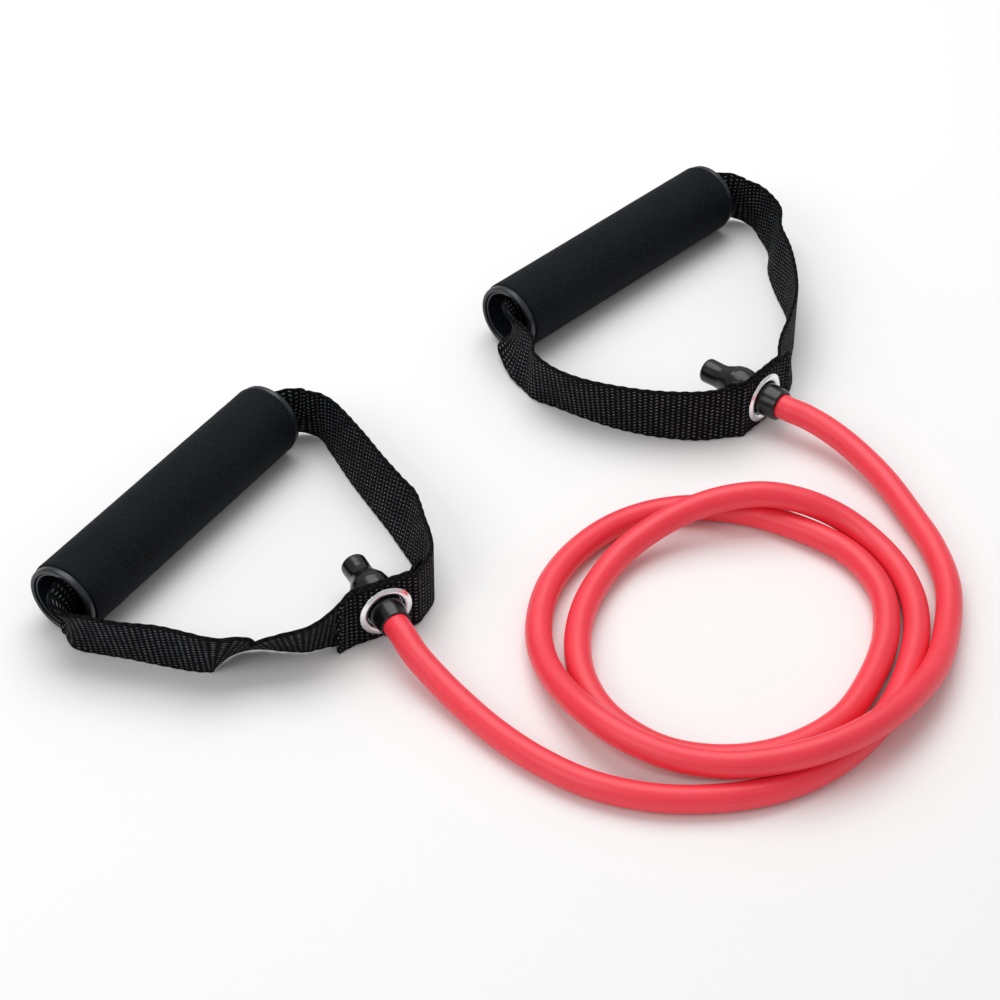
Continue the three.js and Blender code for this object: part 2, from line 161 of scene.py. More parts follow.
RIGHT_STRAP: tuple[Station, ...] = (
    (EYE, 0.0168, 0.0011, 0, 0), (EYE, 0.011, LAYER, 0, 0), (EYE, 0.0, LAYER, 0, 0),
    (EYE, -0.011, LAYER, 0, 0), (EYE, -0.0126, LAYER, 0, 0), (EYE, -0.0165, -0.0026, 0, 0),
    (FRONT, 0.856, 0.0227, 2, 0), (FRONT, 0.717, 0.0289, 6, 0), (FRONT, 0.575, 0.0319, 10, 0),
    (FRONT, 0.432, 0.0323, 14, 0), (FRONT, 0.317, 0.0305, 13, 0), (FRONT, 0.225, 0.0272, 3, 0),
    (NEAR, 0.0132, 0.0256, -10, 0.05), (NEAR, 0.0106, 0.0194, -14, 0.15),
    (NEAR, 0.008, 0.0144, -13, 0.3), (NEAR, 0.0054, 0.0102, -10, 0.55),
    (NEAR, 0.0028, 0.0069, -6, 0.85), (NEAR, -0.001, 0.005, 0, 1), (NEAR, -0.014, 0.0048, 0, 1),
    (END, -0.014, 0.0048, 0, 1), (END, -0.001, 0.0048, -2, 0.95), (END, 0.0046, 0.0068, -7, 0.6),
    (END, 0.0086, 0.0118, -10, 0.25), (END, 0.0097, 0.0181, -4, 0.08), (END, 0.0078, 0.025, 3, 0),
    (FAR, 0.186, 0.0252, 7, 0), (FAR, 0.284, 0.023, 8, 0), (FAR, 0.395, 0.0238, 10, 0),
    (FAR, 0.52, 0.0244, 4, 0), (FAR, 0.63, 0.023, 0, 0), (FAR, 0.738, 0.0185, -3, 0),
    (FAR, 0.834, 0.0146, -12, 0), (EYE, 0.0184, -0.0025, -9, 0), (EYE, 0.0126, -LAYER, 0, 0),
    (EYE, 0.011, -LAYER, 0, 0), (EYE, 0.0, -LAYER, 0, 0), (EYE, -0.0102, -LAYER, 0, 0),
    (EYE, -0.0112, -LAYER, 0, 0), (EYE, -0.014, -0.0032, 0, 0), (EYE, -0.017, -0.006, 0, 0),
)


def heading(degrees: float) -> Vector:
    """The level direction that many degrees round from +X."""
    return Vector((math.cos(math.radians(degrees)), math.sin(math.radians(degrees)), 0.0))


@dataclass(frozen=True)
class Handle:
    """Where one handle lies: its grip, its eyelet and the way the tube leaves it."""

    side: Side
    near: tuple[float, float]
    yaw: float
    eyelet: tuple[float, float]
    exit: float
    stations: tuple[Station, ...]

    def mouth(self, far: bool) -> Vector:
        """The middle of one of the grip's ends, on the floor."""
        return Vector((*self.near, 0.0)) + heading(self.yaw) * (GRIP_LENGTH if far else 0.0)

    def eye(self) -> Vector:
        """The middle of the eyelet, on the floor."""
        return Vector((*self.eyelet, 0.0))

    def on_axis(self, x: float) -> Vector:
        """A point on the tube's axis, x in front of the eyelet's middle."""
        return self.eye() + heading(self.exit) * x + Vector((0.0, 0.0, EYELET_HEIGHT))

    def grip_place(self) -> Matrix:
        """Takes a piece made along +X from the near mouth to its place in the grip."""
        move = Matrix.Translation(Vector((*self.near, FOAM_OD / 2)))
        return move @ Matrix.Rotation(math.radians(self.yaw), 4, "Z")

    def eye_place(self) -> Matrix:
        """Takes a piece made along +X from the eyelet's middle to its place."""
        return Matrix.Translation(self.on_axis(0.0)) @ Matrix.Rotation(
            math.radians(self.exit), 4, "Z"
        )

    def placed(self, place: Place, along: float, across: float) -> Vector:
        """Where a webbing station is, seen from above.

        Args:
            place: what the station is measured from.
            along: the first distance, or the share of the way.
            across: the second distance.

        Returns:
            The point on the floor.
        """
        if place is EYE:
            return self.eye() + heading(self.exit + 90) * along + heading(self.exit) * across
        if place in (NEAR, END):
            far = place is END
            out = heading(self.yaw) * (along if far else -along)
            return self.mouth(far) + out + heading(self.yaw - 90) * across
        start = self.mouth(place is FAR)
        chord = self.eye() - start
        turn = 1.0 if place is FAR else -1.0
        away = Vector((-turn * chord.y, turn * chord.x, 0.0)).normalized()
        return start + chord * along + away * across


LEFT = Handle(Side.LEFT, (-0.1375, -0.125), 57.87, (-0.0195, -0.125), -63.0, LEFT_STRAP)
RIGHT = Handle(Side.RIGHT, (0.0256, 0.050), 46.0, (0.128, 0.0015), -40.0, RIGHT_STRAP)


# ---- curves ----
class Route:
    """A smooth curve through points, which can be walked by its own length."""

    def __init__(self, points: Sequence[Vector], even: bool = False, divisions: int = 2000):
        """Lays the curve.

        Args:
            points: the points it passes through.
            even: whether every span counts the same, however long it is.
            divisions: how finely its length is measured.
        """
        self.points = list(points)
        self.even = even
        self.lengths = [0.0]
        last = self.at(0.0)
        for i in range(1, divisions + 1):
            here = self.at(i / divisions)
            self.lengths.append(self.lengths[-1] + (here - last).length)
            last = here

    @property
    def length(self) -> float:
        """The curve's whole length."""
        return self.lengths[-1]

    def _slopes(self, p: Sequence[Vector]) -> tuple[Vector, Vector]:
        """The slopes at the two ends of the span between the middle two of four points."""
        if self.even:
            return (p[2] - p[0]) * 0.5, (p[3] - p[1]) * 0.5
        # Spans count by the square root of their length, so that close points don't make it loop.
        d = [(b - a).length_squared ** 0.25 for a, b in zip(p, p[1:])]
        d[1] = d[1] if d[1] > TINY else 1.0
        d[0] = d[0] if d[0] > TINY else d[1]
        d[2] = d[2] if d[2] > TINY else d[1]
        first = (p[1] - p[0]) / d[0] - (p[2] - p[0]) / (d[0] + d[1]) + (p[2] - p[1]) / d[1]
        second = (p[2] - p[1]) / d[1] - (p[3] - p[1]) / (d[1] + d[2]) + (p[3] - p[2]) / d[2]
        return first * d[1], second * d[1]

    def at(self, t: float) -> Vector:
        """The point at a share t of the spans."""
        last = len(self.points) - 1
        place = min(max(t, 0.0), 1.0) * last
        i = min(int(place), last - 1)
        w = place - i
        p = self.points
        before = p[i - 1] if i else p[0] * 2 - p[1]
        after = p[i + 2] if i + 2 <= last else p[last] * 2 - p[last - 1]
        a, b = p[i], p[i + 1]
        s, e = self._slopes((before, a, b, after))
        return a + s * w + ((b - a) * 3 - s * 2 - e) * w**2 + ((a - b) * 2 + s + e) * w**3

    def share(self, u: float) -> float:
        """The share of the spans at a share u of the length."""
        target = u * self.length
        i = min(max(bisect_left(self.lengths, target), 1), len(self.lengths) - 1)
        low, high = self.lengths[i - 1], self.lengths[i]
        part = (target - low) / (high - low) if high > low else 0.0
        return (i - 1 + part) / (len(self.lengths) - 1)

    def along(self, t: float) -> Vector:
        """The direction of the curve at t."""
        step = 0.0001
        return (self.at(min(t + step, 1.0)) - self.at(max(t - step, 0.0))).normalized()


@dataclass
class Ring:
    """A place on a swept piece: its middle and its two cross directions."""

    middle: Vector
    side: Vector
    up: Vector


def rings(points: Sequence[Vector]) -> list[Ring]:
    """Cross directions along a line of points that turn no more than they must.

    Args:
        points: the line.

    Returns:
        One ring for each point.
    """
    made: list[Ring] = []
    upright = abs((points[1] - points[0]).normalized().z) > UPRIGHT
    up = Vector((1.0, 0.0, 0.0)) if upright else Vector((0.0, 0.0, 1.0))
    for i, point in enumerate(points):
        ahead = (points[min(i + 1, len(points) - 1)] - points[max(i - 1, 0)]).normalized()
        side = ahead.cross(up).normalized()
        up = side.cross(ahead).normalized()
        made.append(Ring(point, side, up))
    return made


# ---- meshes ----
def strip(width: float, length: float, columns: int, rows: int) -> bmesh.types.BMesh:
    """A flat grid in the XY plane, from (0, 0), with its UV map in metres."""
    bm = bmesh.new()
    uv = bm.loops.layers.uv.new(UV_NAME)
    bmesh.ops.create_grid(bm, x_segments=columns, y_segments=rows, size=0.5)
    for face in bm.faces:
        for loop in face.loops:
            x, y = loop.vert.co.x + 0.5, loop.vert.co.y + 0.5
            loop[uv].uv = (x * width, y * length)
    move = Matrix.Diagonal((width, length, 1.0, 1.0)) @ Matrix.Translation((0.5, 0.5, 0.0))
    bmesh.ops.transform(bm, matrix=move, verts=bm.verts)
    return bm


def sweep(path: Sequence[Ring], radius: Callable[[float], float], sides: int) -> bmesh.types.BMesh:
    """A closed round bar along a line of rings.

    Args:
        path: the rings, in order.
        radius: the bar's radius at a share of the way.
        sides: faces round the bar.

    Returns:
        The bar.
    """
    rows = len(path) - 1
    length = sum((b.middle - a.middle).length for a, b in zip(path, path[1:]))
    bm = strip(math.tau * radius(0.5), length, sides, rows)
    width = max(v.co.x for v in bm.verts)
    for vert in bm.verts:
        share = vert.co.y / length
        ring = path[round(share * rows)]
        angle = math.tau * vert.co.x / width
        reach = radius(share)
        vert.co = ring.middle + (ring.side * math.cos(angle) + ring.up * math.sin(angle)) * reach
    bmesh.ops.remove_doubles(bm, verts=bm.verts, dist=TINY)
    bmesh.ops.holes_fill(bm, edges=[e for e in bm.edges if e.is_boundary], sides=0)
    bmesh.ops.recalc_face_normals(bm, faces=bm.faces)
    return bm


def lathe(
    outline: Sequence[tuple[float, float]], soften: float = 0.0, segments: int = 3
) -> bmesh.types.BMesh:
    """A round piece along +X.

    Args:
        outline: its closed outline, as (x, radius).
        soften: how far each corner off the axis is rounded.
        segments: steps in each rounded corner.

    Returns:
        The closed piece.
    """
    bm = bmesh.new()
    corners = [bm.verts.new((x, 0.0, r)) for x, r in outline]
    bm.faces.new(corners)
    if soften:
        off = [v for v in corners if v.co.z > ON_AXIS]
        bmesh.ops.bevel(
            bm, geom=off, offset=soften, offset_type="OFFSET", segments=segments, profile=0.5,
            affect="VERTICES", clamp_overlap=True, material=-1,
        )
    bmesh.ops.delete(bm, geom=bm.faces[:], context="FACES_ONLY")
    bmesh.ops.spin(
        bm, geom=bm.verts[:] + bm.edges[:], cent=(0, 0, 0), axis=(1, 0, 0),
        angle=math.tau, steps=ROUND, use_merge=True, use_duplicate=False,
    )
    bmesh.ops.remove_doubles(bm, verts=bm.verts, dist=WELD)
    loose = [e for e in bm.edges if not e.link_faces]
    bmesh.ops.delete(bm, geom=loose, context="EDGES")
    bmesh.ops.recalc_face_normals(bm, faces=bm.faces)
    return bm


def to_object(
    bm: bmesh.types.BMesh, name: str, finish: bpy.types.Material, sharp: float = 40.0
) -> bpy.types.Object:
    """Turns a bmesh into a smooth-shaded object with one finish.

    Args:
        bm: the mesh, which is freed.
        name: the piece's name.
        finish: its material.
        sharp: edges that turn more than this many degrees stay crisp.

    Returns:
        The object, at the origin.
    """
    mesh = bpy.data.meshes.new(name)
    bm.to_mesh(mesh)
    bm.free()
    mesh.shade_smooth()
    mesh.set_sharp_from_angle(angle=math.radians(sharp))
    mesh.materials.append(finish)
    obj = bpy.data.objects.new(name, mesh)
    bpy.context.scene.collection.objects.link(obj)
    log.info("made %s: %d faces", name, len(mesh.polygons))
    return obj


def declare(obj: bpy.types.Object, slot: Slot, body: str, *nodes: str) -> bpy.types.Object:
    """Hangs a piece on the body that it rides on and hides the CAD nodes that it stands for."""
    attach(obj, body)
    if nodes:
        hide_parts(*nodes)
    return obj


# ---- shader maths ----
Value = Any


class Wire:
    """A socket's value, which takes part in maths as a number does."""

    def __init__(self, board: "Board", socket: bpy.types.NodeSocket):
        """Keeps the socket and the board it is on."""
        self.board = board
        self.socket = socket

    def _maths(self, operation: str, *values: Value) -> "Wire":
        """Adds one Math node over these values."""
        inputs = dict(enumerate(values))
        return self.board.node("ShaderNodeMath", {"operation": operation}, inputs)

    def __add__(self, other: Value) -> "Wire":
        """self + other."""
        return self._maths("ADD", self, other)

    def __radd__(self, other: Value) -> "Wire":
        """other + self."""
        return self._maths("ADD", other, self)

    def __sub__(self, other: Value) -> "Wire":
        """self - other."""
        return self._maths("SUBTRACT", self, other)

    def __rsub__(self, other: Value) -> "Wire":
        """other - self."""
        return self._maths("SUBTRACT", other, self)

    def __mul__(self, other: Value) -> "Wire":
        """self times other."""
        return self._maths("MULTIPLY", self, other)

    def __truediv__(self, other: Value) -> "Wire":
        """self over other."""
        return self._maths("DIVIDE", self, other)

    def __mod__(self, other: Value) -> "Wire":
        """self modulo other."""
        return self._maths("MODULO", self, other)

    def __abs__(self) -> "Wire":
        """The size of self."""
        return self._maths("ABSOLUTE", self)

    def floor(self) -> "Wire":
        """self rounded down."""
        return self._maths("FLOOR", self)

    def fraction(self) -> "Wire":
        """What is left of self after rounding down."""
        return self._maths("FRACT", self)

    def rise(self, low: float, high: float) -> "Wire":
        """0 under low and 1 over high, with a soft step between."""
        settings = {"interpolation_type": "SMOOTHSTEP"}
        inputs = {"Value": self, "From Min": low, "From Max": high}
        return self.board.node("ShaderNodeMapRange", settings, inputs)


class Board:
    """The nodes of one material, with a Principled shader to feed."""

    def __init__(self, name: str, **constants: Value):
        """Starts a material.

        Args:
            name: its name.
            constants: values for the shader's own sockets, with _ for spaces.
        """
        self.material = bpy.data.materials.new(name)
        self.material.use_nodes = True
        self.tree = self.material.node_tree
        self.tree.nodes.clear()
        self.shader = self.tree.nodes.new("ShaderNodeBsdfPrincipled")
        out = self.tree.nodes.new("ShaderNodeOutputMaterial")
        self.tree.links.new(self.shader.outputs[0], out.inputs[0])
        for key, value in constants.items():
            self.feed(key.replace("_", " "), value)

    def node(self, kind: str, settings: dict, inputs: dict, output: int | str = 0) -> Wire:
        """Adds a node.

        Args:
            kind: its type.
            settings: its own settings, which are set first.
            inputs: values or wires for its sockets, by name or number.
            output: which output to take.

        Returns:
            That output.
        """
        made = self.tree.nodes.new(kind)
        for key, value in settings.items():
            setattr(made, key, value)
        for key, value in inputs.items():
            self._set(made.inputs[key], value)
        return Wire(self, made.outputs[output])

    def _set(self, socket: bpy.types.NodeSocket, value: Value) -> None:
        """Links a wire to a socket, or sets the socket's value."""
        if isinstance(value, Wire):
            self.tree.links.new(value.socket, socket)
        else:
            socket.default_value = value

    def feed(self, name: str, value: Value) -> None:
        """Sets or links one of the shader's own sockets."""
        self._set(self.shader.inputs[name], value)

    def place(self) -> Wire:
        """Object coordinates."""
        return self.node("ShaderNodeTexCoord", {}, {}, "Object")

    def cloth(self) -> tuple[Wire, Wire]:
        """The two directions of the piece's own map, in metres."""
        uv = self.node("ShaderNodeUVMap", {"uv_map": UV_NAME}, {})
        across = self.node("ShaderNodeSeparateXYZ", {}, {0: uv}, "X")
        along = self.node("ShaderNodeSeparateXYZ", {}, {0: uv}, "Y")
        return across, along

    def noise(self, vector: Wire, scale: float, detail: float = 2.0, rough: float = 0.5) -> Wire:
        """Soft noise at so many waves a metre."""
        inputs = {"Vector": vector, "Scale": scale, "Detail": detail, "Roughness": rough}
        return self.node("ShaderNodeTexNoise", {}, inputs)

    def blend(self, factor: Value, first: Value, second: Value) -> Wire:
        """A mix of two colours, on the Mix node's colour sockets."""
        inputs = {0: factor, 6: first, 7: second}
        return self.node("ShaderNodeMix", {"data_type": "RGBA"}, inputs, 2)

    def bump(self, height: Wire, distance: float, strength: float) -> None:
        """Raises the surface by a height."""
        inputs = {"Height": height, "Distance": distance, "Strength": strength}
        self.feed("Normal", self.node("ShaderNodeBump", {}, inputs))


Colour = tuple[float, float, float, float]


def tone(red: float, green: float, blue: float) -> Colour:
    """An opaque colour, in linear light."""
    return (red, green, blue, 1.0)


# ---- finishes ----
@dataclass(frozen=True)
class TubeRubber:
    """Satin extruded rubber, with a faint drawn grain and a bloom of paler scuffs."""

    name: str = "red_tube_rubber"
    base: Colour = tone(0.90, 0.034, 0.060)
    pale: Colour = tone(0.96, 0.090, 0.125)
    deep: Colour = tone(0.80, 0.022, 0.044)
    roughness: float = 0.40
    drawn: tuple[float, float] = (9.0, 0.35)  # the grain's squeeze across and along
    grain: float = 210.0
    cloud: float = 34.0
    scuff: float = 260.0
    patch: float = 22.0
    pore: float = 1800.0

    def make(self) -> bpy.types.Material:
        """Builds the material."""
        b = Board(self.name, Specular_IOR_Level=0.5, Coat_Roughness=0.45)
        place = b.place()
        across, along = b.cloth()
        drawn = {0: across * self.drawn[0], 1: along * self.drawn[1]}
        grain = b.noise(b.node("ShaderNodeCombineXYZ", {}, drawn), self.grain, 3.0)
        cloud = b.noise(place, self.cloud, 3.0)
        patch = b.noise(place, self.patch).rise(0.5, 0.62)
        scuff = b.noise(place, self.scuff, 4.0, 0.65).rise(0.60, 0.74) * patch
        body = b.blend(cloud.rise(0.3, 0.7) * 0.55, self.base, self.deep)
        body = b.blend(grain.rise(0.35, 0.75) * 0.20 + scuff * 0.45, body, self.pale)
        b.feed("Base Color", body)
        b.feed("Roughness", self.roughness + grain * 0.08 + scuff * 0.18 - cloud * 0.05)
        b.feed("Coat Weight", 0.10 + cloud * 0.08)
        b.bump(grain * 0.6 + b.noise(place, self.pore) * 0.4, 0.00008, 0.35)
        return b.material


@dataclass(frozen=True)
class CellFoam:
    """Closed-cell foam: blue-black, matt, with fine specks of painted highlight."""

    name: str = "blue_black_foam"
    base: Colour = tone(0.0048, 0.0057, 0.0090)
    deep: Colour = tone(0.0028, 0.0034, 0.0055)
    # the paler colour of the painted highlight specks
    speck_highlight: Colour = tone(0.0310, 0.0355, 0.0480)
    cells: float = 1100.0
    fine: float = 2600.0
    cloud: float = 60.0
    speck: float = 1250.0

    def make(self) -> bpy.types.Material:
        """Builds the material."""
        b = Board(self.name, Specular_IOR_Level=0.14)
        place = b.place()
        cells = b.node("ShaderNodeTexVoronoi", {}, {"Vector": place, "Scale": self.cells})
        fine = b.noise(place, self.fine, 2.0)
        cloud = b.noise(place, self.cloud, 4.0)
        speck = b.noise(place, self.speck, 3.0, 0.75).rise(0.50, 0.68)
        body = b.blend(cloud.rise(0.35, 0.65), self.deep, self.base)
        # painted highlight: paler specks blended into the base colour
        b.feed("Base Color", b.blend(speck * 0.42, body, self.speck_highlight))
        b.feed("Roughness", 0.66 + cloud * 0.12 + fine * 0.12)
        b.bump(cells * 0.6 + fine * 0.5 + speck * 0.7, 0.00035, 0.7)
        return b.material


@dataclass(frozen=True)
class MouldedPlastic:
    """Dark moulded plastic with a light polish on it."""

    name: str
    base: Colour
    roughness: float
    cloud: float = 90.0
    rub: float = 900.0
    grit: float = 1500.0

    def make(self) -> bpy.types.Material:
        """Builds the material."""
        b = Board(self.name, Specular_IOR_Level=0.5)
        place = b.place()
        cloud = b.noise(place, self.cloud, 3.0)
        rub = b.noise(place, self.rub, 4.0, 0.7).rise(0.55, 0.8)
        pale = tuple(c * 2.2 + 0.004 for c in self.base[:3]) + (1.0,)
        b.feed("Base Color", b.blend(rub * 0.35 + cloud * 0.15, self.base, pale))
        b.feed("Roughness", self.roughness + cloud * 0.10 + rub * 0.14)
        b.bump(b.noise(place, self.grit, 2.0), 0.00005, 0.25)
        return b.material


@dataclass(frozen=True)
class WovenWebbing:
    """Black webbing: rows of slanted yarns in a herringbone, with plain bound edges."""

    name: str = "black_webbing"
    base: Colour = tone(0.0016, 0.0018, 0.0022)
    yarn: Colour = tone(0.0055, 0.0060, 0.0070)
    # the pale colour of the painted highlight on the yarns' crests
    glint: Colour = tone(0.195, 0.202, 0.215)
    row: float = 0.0022  # metres from one row of yarns to the next
    pick: float = 0.00172  # metres from one yarn to the next in a row
    slant: float = 0.55
    wander: float = 160.0
    fray: float = 640.0
    spark: float = 210.0

    def make(self) -> bpy.types.Material:
        """Builds the material."""
        b = Board(self.name, Specular_IOR_Level=0.07)
        place = b.place()
        across, along = b.cloth()
        wander = b.noise(place, self.wander, 2.0)
        rows = along / self.row
        number = rows.floor()
        odd = number % 2.0
        x = rows - number - 0.5
        lean = (odd * 2.0 - 1.0) * x * self.slant
        picks = across / self.pick + lean + odd * 0.5 + wander * 0.25
        y = abs(picks.fraction() - 0.5)
        ends = 1.0 - abs(x).rise(0.30, 0.50)
        thread = (1.0 - y.rise(0.16, 0.46)) * ends
        crest = (1.0 - y.rise(0.04, 0.23)) * (1.0 - abs(x).rise(0.08, 0.30))
        fray = b.noise(place, self.fray, 3.0, 0.7)
        spark = b.noise(place, self.spark, 2.0, 0.6).rise(0.38, 0.62)
        middle = 1.0 - abs(across / STRAP_WIDTH - 0.5).rise(0.455, 0.475)
        # painted highlight: glints on the yarns' crests, kept off the bound edges
        glint = crest * (0.45 + spark * 0.55) * fray.rise(0.22, 0.52) * middle
        body = b.blend(thread, self.base, self.yarn)
        b.feed("Base Color", b.blend(glint, body, self.glint))
        b.feed("Roughness", 0.86 - thread * 0.16 - glint * 0.20)
        b.bump(thread * 0.8 + fray * 0.15, 0.00045, 0.9)
        return b.material


@dataclass(frozen=True)
class PolishedMetal:
    """Nickel-plated brass, polished, with a faint haze."""

    name: str = "polished_eyelet"
    base: Colour = tone(0.90, 0.90, 0.91)
    tarnish: Colour = tone(0.74, 0.74, 0.76)
    haze: float = 420.0
    dents: float = 260.0

    def make(self) -> bpy.types.Material:
        """Builds the material."""
        b = Board(self.name, Metallic=1.0)
        place = b.place()
        haze = b.noise(place, self.haze, 4.0, 0.6)
        b.feed("Base Color", b.blend(haze.rise(0.5, 0.8) * 0.5, self.base, self.tarnish))
        b.feed("Roughness", 0.14 + haze * 0.16)
        b.bump(b.noise(place, self.dents, 2.0), 0.00004, 0.2)
        return b.material


@dataclass(frozen=True)
class StopperRubber:
    """Black dipped rubber, smooth with small dull patches."""

    name: str = "black_stopper_rubber"
    base: Colour = tone(0.0026, 0.0028, 0.0035)
    dusty: Colour = tone(0.04, 0.042, 0.048)
    cloud: float = 150.0
    dust: float = 1300.0
    ripple: float = 300.0

    def make(self) -> bpy.types.Material:
        """Builds the material."""
        b = Board(self.name, Specular_IOR_Level=0.42, Coat_Roughness=0.22)
        place = b.place()
        cloud = b.noise(place, self.cloud, 3.0)
        dust = b.noise(place, self.dust, 3.0, 0.7).rise(0.66, 0.78)
        b.feed("Base Color", b.blend(dust * 0.5, self.base, self.dusty))
        b.feed("Roughness", 0.16 + cloud * 0.16 + dust * 0.2)
        b.feed("Coat Weight", 0.04 + cloud * 0.12)
        b.bump(b.noise(place, self.ripple, 3.0), 0.00012, 0.35)
        return b.material


@dataclass(frozen=True)
class PaleFloor:
    """The plain pale floor."""

    name: str = "pale_floor"
    base: Colour = tone(0.90, 0.90, 0.90)

    def make(self) -> bpy.types.Material:
        """Builds the material."""
        b = Board(self.name, Base_Color=self.base, Roughness=0.75, Specular_IOR_Level=0.2)
        return b.material


def plastic(name: str, base: Colour, roughness: float) -> Any:
    """A palette field that holds one moulded plastic."""
    return field(default_factory=lambda: MouldedPlastic(name, base, roughness).make())


@dataclass
class Palette:
    """Every finish, made once."""

    tube: bpy.types.Material = field(default_factory=lambda: TubeRubber().make())
    foam: bpy.types.Material = field(default_factory=lambda: CellFoam().make())
    webbing: bpy.types.Material = field(default_factory=lambda: WovenWebbing().make())
    metal: bpy.types.Material = field(default_factory=lambda: PolishedMetal().make())
    stopper: bpy.types.Material = field(default_factory=lambda: StopperRubber().make())
    core: bpy.types.Material = plastic("core_plastic_dark", tone(0.008, 0.009, 0.012), 0.20)
    collar: bpy.types.Material = plastic("collar_plastic_dark", tone(0.010, 0.0115, 0.016), 0.28)
    yarn: bpy.types.Material = plastic("loose_yarn", tone(0.030, 0.032, 0.036), 0.60)
    ball: bpy.types.Material = plastic("ball_plastic_grey", tone(0.05, 0.05, 0.055), 0.35)


# ---- the camera and the lights ----
Spot = tuple[float, float, float]


def stand(obj: bpy.types.Object, place: Spot, target: Spot) -> None:
    """Links a camera or a light and makes it face a point."""
    bpy.context.scene.collection.objects.link(obj)
    obj.location = place
    look = Vector(target) - Vector(place)
    obj.rotation_euler = look.to_track_quat("-Z", "Y").to_euler()


@dataclass(frozen=True)
class Lamp:
    """A square soft light, with its side in metres and its power in watts."""

    name: str
    place: Spot
    target: Spot
    size: float
    power: float

    def make(self) -> None:
        """Adds the light."""
        data = bpy.data.lights.new(self.name, "AREA")
        data.shape, data.size, data.energy = "SQUARE", self.size, self.power
        stand(bpy.data.objects.new(self.name, data), self.place, self.target)


@dataclass
class Studio:
    """A pale floor, soft lights and the camera."""

    eye: Spot = (0.023, -0.8226, 0.6512)
    target: Spot = (0.023, -0.049, 0.0)
    lens: float = 93.03
    sensor: float = 36.0
    surround: float = 0.50
    floor_half: float = 4.0
    floor_drop: float = 0.0002
    lamps: tuple[Lamp, ...] = (
        Lamp("softbox_top", (-0.05, 0.40, 1.15), (0.02, -0.05, 0.0), 1.1, 10.5),
        Lamp("softbox_front", (-0.75, -0.75, 0.85), (0.0, -0.05, 0.0), 0.6, 3.2),
    )

    def camera(self) -> None:
        """Sets up the camera."""
        data = bpy.data.cameras.new("camera")
        data.lens, data.sensor_width, data.sensor_fit = self.lens, self.sensor, "HORIZONTAL"
        data.clip_start = 0.01
        obj = bpy.data.objects.new("camera", data)
        stand(obj, self.eye, self.target)
        bpy.context.scene.camera = obj

    def light(self) -> None:
        """Adds the surround, the lights and the floor."""
        world = bpy.data.worlds.new("surround")
        world.use_nodes = True
        background = world.node_tree.nodes["Background"]
        background.inputs["Color"].default_value = tone(1.0, 1.0, 1.0)
        background.inputs["Strength"].default_value = self.surround
        bpy.context.scene.world = world
        bpy.context.scene.view_settings.view_transform = "Standard"
        for lamp in self.lamps:
            lamp.make()
        bm = bmesh.new()
        bmesh.ops.create_grid(bm, x_segments=1, y_segments=1, size=self.floor_half)
        bmesh.ops.translate(bm, verts=bm.verts, vec=(0.0, 0.0, -self.floor_drop))
        to_object(bm, "floor", PaleFloor().make())


# ---- the tube ----
@dataclass
class TubeCord:
    """The rubber tube between the two sleeves: a lead at each end and the coiled loop."""

    palette: Palette
    sides: int = 36
    step: float = 0.002  # from one ring to the next
    hidden: float = 0.0012  # inside the sleeve's mouth
    straight: float = 0.006  # leaves the sleeve along its axis
    held: float = 0.012  # at the sleeve, which moves as the end does

    def route(self) -> Route:
        """The tube's centreline, from inside the left sleeve to inside the right one."""
        start = SLEEVE_MOUTH - self.hidden
        left = [LEFT.on_axis(start), LEFT.on_axis(start + self.straight)]
        right = [RIGHT.on_axis(start + self.straight), RIGHT.on_axis(start)]
        return Route([*left, *(Vector(p) for p in COIL), *right])

    def stretch(self, name: str, path: Sequence[Ring]) -> bpy.types.Object:
        """One stretch of the tube, with its length logged."""
        bar = sweep(path, lambda share: TUBE_OD / 2, self.sides)
        obj = to_object(bar, name, self.palette.tube)
        points = [ring.middle for ring in path]
        length = sum((b - a).length for a, b in zip(points, points[1:]))
        log.info("%s is %.0f mm long", name, length * 1000)
        return obj

    def build(self) -> None:
        """Makes the leads and the loop, and hangs the loop on the tube's body."""
        route = self.route()
        count = round(route.length / self.step)
        points = [route.at(route.share(i / count)) for i in range(count + 1)]
        whole = rings(points)
        lead = round(LEAD_LENGTH / route.length * count)
        held = round(self.held / route.length * count)
        loop = self.stretch("tube_loop_rubber", whole[lead : count - lead + 1])
        declare(loop, Slot.TUBE, "tube", "tube_loop")
        ends = (
            ("left", whole[: lead + 1], points[lead], points[held]),
            ("right", whole[: count - lead - 1 : -1], points[count - lead], points[count - held]),
        )
        for side, path, start, end in ends:
            obj = self.stretch(f"{side}_tube_lead_rubber", path)
            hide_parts(f"{side}_tube_lead")
            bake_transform(obj)


